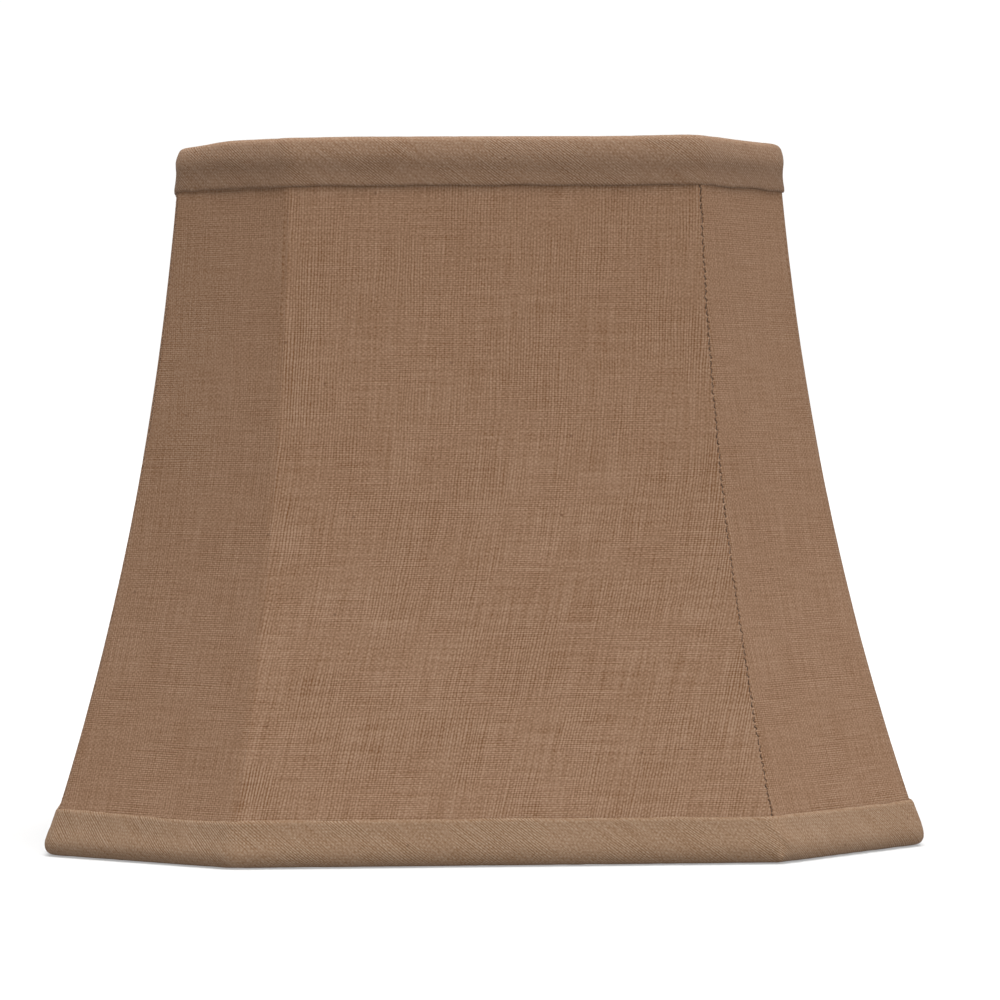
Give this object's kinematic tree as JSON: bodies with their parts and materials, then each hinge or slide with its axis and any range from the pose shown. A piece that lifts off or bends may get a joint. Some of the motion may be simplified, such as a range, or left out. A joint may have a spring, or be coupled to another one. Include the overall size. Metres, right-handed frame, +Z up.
{
  "type": "lamp shade",
  "caption": "Square bell lamp shade with cut corners: linen cover and pale lining on a bent wire frame, bias-bound top and bottom, with a recessed washer fitter.",
  "frame": {"origin": "middle of the shade in the plane of its bottom edge", "axes": "+Z up the shade's axis, -Y out of the front panel, +X to the right of a person facing the front"},
  "size_m": [0.2552, 0.2552, 0.205],
  "materials": {
    "linen": "matt plain-weave linen",
    "binding": "matt plain-weave linen cut on the bias",
    "lining": "matt off-white lining cloth",
    "wire": "zinc-plated wire and pressing"
  },
  "bodies": {
    "root": {"cover_front": "linen", "cover_right": "linen", "cover_back": "linen", "cover_left": "linen", "top_trim": "binding", "bottom_trim": "binding", "liner_front": "lining", "liner_right": "lining", "liner_back": "lining", "liner_left": "lining", "neatener_1": "lining", "neatener_2": "lining", "neatener_3": "lining", "neatener_4": "lining", "top_ring": "wire", "bottom_ring": "wire", "rib_1": "wire", "rib_2": "wire", "rib_3": "wire", "rib_4": "wire", "rib_5": "wire", "rib_6": "wire", "rib_7": "wire", "rib_8": "wire", "arm_1": "wire", "arm_2": "wire", "arm_3": "wire", "arm_4": "wire", "washer": "wire"}
  },
  "joints": []
}
